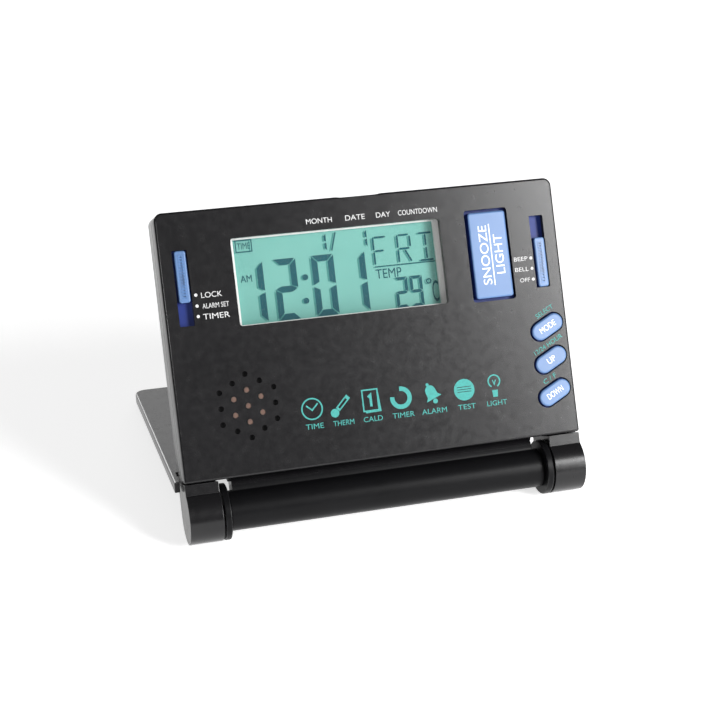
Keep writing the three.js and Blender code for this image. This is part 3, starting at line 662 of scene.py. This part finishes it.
def thermometer_symbol(u, v):
    """Bulb at the foot of a leaning tube with an open bore."""
    lean = math.radians(THERMOMETER_TILT)
    along = Vector((math.cos(lean), math.sin(lean)))
    foot = Vector((u, v)) - along * 2.4
    tube = [tuple(foot + along * 1.1), tuple(foot + along * 5.2)]
    bore = [tuple(foot + along * 1.6), tuple(foot + along * 4.4)]
    return [[circle(*foot, 1.05)], [stroke(tube, 1.25)[0], stroke(bore, 0.6)[0]]]


def calendar_symbol(u, v):
    """Page with a figure one, and the edge of the leaf behind it."""
    page = [(u - 1.9, v + 2.9), (u + 1.9, v + 2.9), (u + 1.9, v - 2.2), (u - 1.9, v - 2.2)]
    leaf = [(u + 2.1, v + 2.6), (u + 2.5, v - 2.6), (u - 1.4, v - 2.7)]
    leaf += [(u - 1.5, v - 2.4), (u + 2.05, v - 2.3)]
    figure = [(u - 0.55, v + 1.1), (u + 0.1, v + 1.6), (u + 0.1, v - 1.2)]
    return [stroke(page, LINE, closed=True), [leaf], stroke(figure, 0.6)]


def timer_symbol(u, v):
    """Three quarters of a thick ring."""
    return [stroke(arc(u, v, 2.2, 95, -190, 3 * ARC_STEPS), 1.1)]


def turned(loops, u, v, degrees):
    """Loops of points turned about (u, v)."""
    turn = Matrix.Rotation(math.radians(degrees), 2)
    centre = Vector((u, v))
    return [[tuple(centre + turn @ (Vector(point) - centre)) for point in loop] for loop in loops]


def bell_symbol(u, v):
    """Swinging bell with its clapper and its loop."""
    left_rim = [(u - 2.1, v - 1.3), (u - 1.4, v - 0.5)]
    right_rim = [(u + 1.4, v - 0.5), (u + 2.1, v - 1.3)]
    body = [*left_rim, *arc(u, v + 0.9, 1.3, 180, 0), *right_rim]
    parts = [[body], [circle(u, v - 2.0, 0.6)], [circle(u, v + 2.5, 0.4)]]
    return [turned(part, u, v, BELL_TILT) for part in parts]


def disc_symbol(u, v):
    """Disc with three lines left open in it."""
    rows = [v + 0.7, v + 0.1, v - 0.5]
    lines = [stroke([(u - 1.8, row), (u + 1.8, row)], FINE_LINE)[0] for row in rows]
    return [[circle(u, v, 2.65), *lines]]


def bulb_symbol(u, v):
    """Light bulb with its filament."""
    glass = arc(u, v + 1.2, 1.5, -60, 240, 3 * ARC_STEPS)
    base = [(u - 0.75, v - 1.0), (u + 0.75, v - 1.0), (u + 0.6, v - 2.7), (u - 0.6, v - 2.7)]
    filament = [(u - 0.4, v + 1.5), (u, v + 0.4), (u + 0.4, v + 1.5)]
    return [stroke(glass, LINE), [base], stroke(filament, 0.25)]


SYMBOLS = [
    # drawing, centre along the row, word below it and the word's width
    (clock_symbol, 32.5, "TIME", 4.4),
    (thermometer_symbol, 39.7, "THERM", 5.2),
    (calendar_symbol, 47.1, "CALD", 4.8),
    (timer_symbol, 54.8, "TIMER", 5.6),
    (bell_symbol, 62.7, "ALARM", 6.4),
    (disc_symbol, 71.1, "TEST", 4.6),
    (bulb_symbol, 79.0, "LIGHT", 5.2),
]
flat_piece(
    "turquoise_printing", "turquoise_ink", "head", INK_LIFT,
    outlines=[loops for draw, u, _, _ in SYMBOLS for loops in draw(u, SYMBOL_ROW)],
    words=[
        *[(word, (u + LABEL_SHIFT, LABEL_ROW), width, LABEL_HEIGHT) for _, u, word, width in SYMBOLS],
        *TILTED_WORDS,
    ],
)

# Printing on the buttons

SNOOZE_HEIGHT = 2.2
SNOOZE_TURN = 90
UNDERLINE_LENGTH = 15.2
UNDERLINE_WIDTH = 0.25
UNDERLINE_SHIFT = 0.275  # to the right of the button's middle
OVAL_HEIGHT = 1.5
OVAL_LETTER_WIDTH = 1.15


def button_top(node):
    """Middle of a button's top, and its height above the panel."""
    low, high = panel_box(node)
    return (low.x + high.x) / 2, (low.y + high.y) / 2, high.z


u, v, height = button_top("snooze_button")
underline = [
    (u + UNDERLINE_SHIFT, v - UNDERLINE_LENGTH / 2),
    (u + UNDERLINE_SHIFT, v + UNDERLINE_LENGTH / 2),
]
flat_piece(
    "snooze_lettering", "button_ink", "snooze_button", height + INK_LIFT,
    outlines=[stroke(underline, UNDERLINE_WIDTH)],
    words=[
        ("SNOOZE", (u - 1.5, v), 14.6, SNOOZE_HEIGHT, SNOOZE_TURN),
        ("LIGHT", (u + 2.2, v), 9.8, SNOOZE_HEIGHT, SNOOZE_TURN),
    ],
)
for name, word in (("mode_button", "MODE"), ("up_button", "UP"), ("down_button", "DOWN")):
    u, v, height = button_top(name)
    flat_piece(
        name + "_lettering", "button_ink", name, height + INK_LIFT,
        words=[(word, (u, v), OVAL_LETTER_WIDTH * len(word), OVAL_HEIGHT, OVAL_TILT)],
    )

# Ribs along the middle of each slide's knob

RIB_WIDTH = 1.3
RIB_THICKNESS = 0.42
RIB_PITCH = 0.72
RIB_RISE = 0.1


def segment(start, end, width):
    """Six-sided segment with pointed ends."""
    start, end = Vector(start), Vector(end)
    along = (end - start).normalized()
    side = Vector((-along.y, along.x)) * width / 2
    tip = along * width / 2
    points = [start, start + tip + side, end - tip + side, end, end - tip - side, start + tip - side]
    return [[tuple(point) for point in points]]


def knob_top(node):
    """Middle and half the length of the top of a slide's knob, and its height above the panel."""
    corners = [PANEL.inverted() @ vertex.co for vertex in frame["nodes"][node].data.vertices]
    height = max(corner.z for corner in corners)
    top = [corner for corner in corners if corner.z > height - INK]
    us, vs = [corner.x for corner in top], [corner.y for corner in top]
    middle = ((min(us) + max(us)) / 2, (min(vs) + max(vs)) / 2)
    return middle, (max(vs) - min(vs)) / 2, height


for name in ("left_knob", "right_knob"):
    (u, v), half, height = knob_top(name)
    count = int(half / RIB_PITCH)
    rows = [v + RIB_PITCH * step for step in range(-count + 1, count)]
    left, right = u - RIB_WIDTH / 2, u + RIB_WIDTH / 2
    # the ribs take the darker edge blue, as painted shade of the knob's middle stripe
    flat_piece(
        name + "_ribs", "blue_edge", name, height + INK_LIFT,
        outlines=[segment((left, row), (right, row), RIB_THICKNESS) for row in rows],
        thickness=RIB_RISE,
    )

# -------------------------------------------------------------------------------------------------
# Display figures
# -------------------------------------------------------------------------------------------------

SEGMENTS_LIT = {"0": "abcdef", "1": "bc", "2": "abged", "9": "abcdfg"}


def seven_segment(figure, u, v, width, height, thick, gap):
    """Mitred segments of a figure whose lower left corner is (u, v)."""
    half = height / 2
    middle = [(gap, 0), (thick, thick / 2), (width - thick, thick / 2)]
    middle += [(width - gap, 0), (width - thick, -thick / 2), (thick, -thick / 2)]
    long = [(gap, 0), (width - gap, 0), (width - thick - gap, -thick), (thick + gap, -thick)]
    tall = [(0, -gap), (0, gap - half), (-thick, gap + thick / 2 - half), (-thick, -thick - gap)]
    outlines = {
        "a": [(x, height + y) for x, y in long],
        "b": [(width + x, height + y) for x, y in tall],
        "c": [(width + x, -y) for x, y in tall],
        "d": [(x, -y) for x, y in long],
        "e": [(-x, -y) for x, y in tall],
        "f": [(-x, height + y) for x, y in tall],
        "g": [(x, half + y) for x, y in middle],
    }
    return [[[(u + x, v + y) for x, y in outlines[name]]] for name in SEGMENTS_LIT[figure]]


def shifted(outlines, u, v):
    """Outlines moved across and up."""
    return [[[(x + u, y + v) for x, y in loop] for loop in loops] for loops in outlines]


def day_letters():
    """F, R and I of the day field, in thin strokes."""
    thin = 0.45
    low, middle, top = 46.9, 50.25, 53.6
    lines = [
        ((52.8, low), (52.8, middle - 0.2)), ((52.8, middle + 0.2), (52.8, top)),
        ((53.1, top), (56.1, top)), ((53.1, middle), (55.4, middle)),
        ((59.0, low), (59.0, middle - 0.2)), ((59.0, middle + 0.2), (59.0, top)),
        ((59.3, top), (62.0, top)), ((62.2, top - 0.3), (62.2, middle + 0.3)),
        ((59.3, middle), (62.0, middle)), ((60.7, middle - 0.3), (62.2, low)),
        ((64.4, top), (67.9, top)), ((66.2, top - 0.3), (66.2, middle + 0.2)),
        ((66.2, middle - 0.2), (66.2, low + 0.3)), ((64.4, low), (67.9, low)),
    ]
    return [segment(start, end, thin) for start, end in lines]


display_back = panel_box("display_glass")[1].z
BIG = {"width": 5.6, "height": 14.8, "thick": 1.5, "gap": 0.2}
SMALL = {"width": 3.2, "height": 7.6, "thick": 0.75, "gap": 0.12}
DATE = {"width": 1.8, "height": 4.2, "thick": 0.5, "gap": 0.1}
FIGURES = [
    # figure, its lower left corner and its size
    ("1", 19.1, 35.9, BIG),
    ("2", 27.3, 35.9, BIG),
    ("0", 36.8, 35.9, BIG),
    ("1", 44.7, 35.9, BIG),
    ("2", 57.2, 35.7, SMALL),
    ("9", 61.0, 35.7, SMALL),
    ("1", 39.3, 51.6, DATE),
    ("1", 49.6, 51.6, DATE),
]
FIGURE_OUTLINES = [
    *[loops for figure, u, v, size in FIGURES for loops in seven_segment(figure, u, v, **size)],
    [circle(34.9, 45.7, 0.72)],
    [circle(34.5, 40.0, 0.72)],
    segment((42.2, 51.4), (43.6, 55.9), 0.35),
    segment((52.6, 46.4), (68.4, 46.4), 0.25),
    stroke([(18.7, 53.3), (22.6, 53.3), (22.6, 56.1), (18.7, 56.1)], 0.25, closed=True),
    stroke(circle(65.9, 41.6, 0.55), 0.3, closed=True),
    *day_letters(),
]
FIGURE_WORDS = [
    # text, centre, width, height
    ("TIME", (20.65, 54.7), 3.2, 1.5),
    ("AM", (20.4, 46.8), 2.8, 1.7),
    ("TEMP", (55.9, 44.6), 6.6, 2.3),
    ("C", (67.4, 39.0), 1.6, 5.2),
]
FIGURE_SHIFT = 0.65  # the places above are where they seem to be, seen through the window at an angle
SHADOW_SHIFT = (-0.5, -0.1)  # of the figures' shadows on the reflector, from the figures
flat_piece(
    "display_figures", "figures", "head", display_back + 2 * INK + INK_LIFT,
    outlines=shifted(FIGURE_OUTLINES, FIGURE_SHIFT, 0),
    words=[(text, (u + FIGURE_SHIFT, v), width, height) for text, (u, v), width, height in FIGURE_WORDS],
)
flat_piece(
    "display_figure_shadows", "figure_shadow", "head", display_back + INK_LIFT,
    outlines=shifted(FIGURE_OUTLINES, FIGURE_SHIFT + SHADOW_SHIFT[0], SHADOW_SHIFT[1]),
)

# -------------------------------------------------------------------------------------------------
# Studio
# -------------------------------------------------------------------------------------------------


def studio_floor():
    """Pale glowing sheet under the clock."""
    signs = ((-1, -1), (1, -1), (1, 1), (-1, 1))
    corners = [(x * FLOOR_REACH_m, y * FLOOR_REACH_m, -FLOOR_DROP_m) for x, y in signs]
    mesh = bpy.data.meshes.new("floor")
    mesh.from_pydata(corners, [], [(0, 1, 2, 3)])
    look = Look("floor_sheet", 0.8)
    look.colour(look.blend(look.noise(60, detail=2), (0.9, 0.9, 0.9), (0.93, 0.93, 0.93)))
    look.shader.inputs["Emission Color"].default_value = (1, 1, 1, 1)
    look.shader.inputs["Emission Strength"].default_value = FLOOR_GLOW
    mesh.materials.append(look.material)
    floor = bpy.data.objects.new("floor", mesh)
    scene.collection.objects.link(floor)


def softbox(name, azimuth, elevation, distance, width, height, power, aim):
    """Area light at an angle round the clock, turned towards the aim."""
    light = bpy.data.lights.new(name, "AREA")
    light.shape = "RECTANGLE"
    light.size = width
    light.size_y = height
    light.energy = power
    lamp = bpy.data.objects.new(name, light)
    turn, rise = math.radians(azimuth), math.radians(elevation)
    away = Vector((math.sin(turn) * math.cos(rise), -math.cos(turn) * math.cos(rise), math.sin(rise)))
    lamp.location = aim + away * distance
    lamp.rotation_euler = away.to_track_quat("Z", "Y").to_euler()
    scene.collection.objects.link(lamp)


def studio_world(seen, cast):
    """White behind the clock, with a dimmer even light from all round."""
    world = bpy.data.worlds.new("studio")
    world.use_nodes = True
    nodes, links = world.node_tree.nodes, world.node_tree.links
    even = nodes["Background"]
    even.inputs["Color"].default_value = (1, 1, 1, 1)
    even.inputs["Strength"].default_value = cast
    backdrop = nodes.new("ShaderNodeBackground")
    backdrop.inputs["Strength"].default_value = seen
    path = nodes.new("ShaderNodeLightPath")
    mix = nodes.new("ShaderNodeMixShader")
    links.new(path.outputs["Is Camera Ray"], mix.inputs["Fac"])
    links.new(even.outputs["Background"], mix.inputs[1])
    links.new(backdrop.outputs["Background"], mix.inputs[2])
    links.new(mix.outputs["Shader"], nodes["World Output"].inputs["Surface"])
    scene.world = world


def studio_camera():
    """Camera that looks at the panel from the left and above."""
    camera = bpy.data.objects.new("camera", bpy.data.cameras.new("camera"))
    camera.data.lens = LENS
    aim = Matrix.Translation(PANEL @ Vector((*AIM, 0)))
    turn = Matrix.Rotation(math.radians(CAMERA_AZIMUTH), 4, "Z")
    rise = Matrix.Rotation(math.radians(90 - CAMERA_ELEVATION), 4, "X")
    back = Matrix.Translation((0, 0, CAMERA_DISTANCE * MM))
    roll = Matrix.Rotation(math.radians(CAMERA_ROLL), 4, "Z")
    camera.matrix_world = aim @ turn @ rise @ back @ roll
    camera.data.clip_start = NEAREST_SEEN_m
    scene.collection.objects.link(camera)
    scene.camera = camera


middle = (cad_low + cad_high) / 2
studio_floor()
studio_world(BACKDROP_SEEN, BACKDROP_CAST)
for row in SOFTBOXES:
    softbox(*row, middle)
studio_camera()
scene.view_settings.view_transform = "Standard"
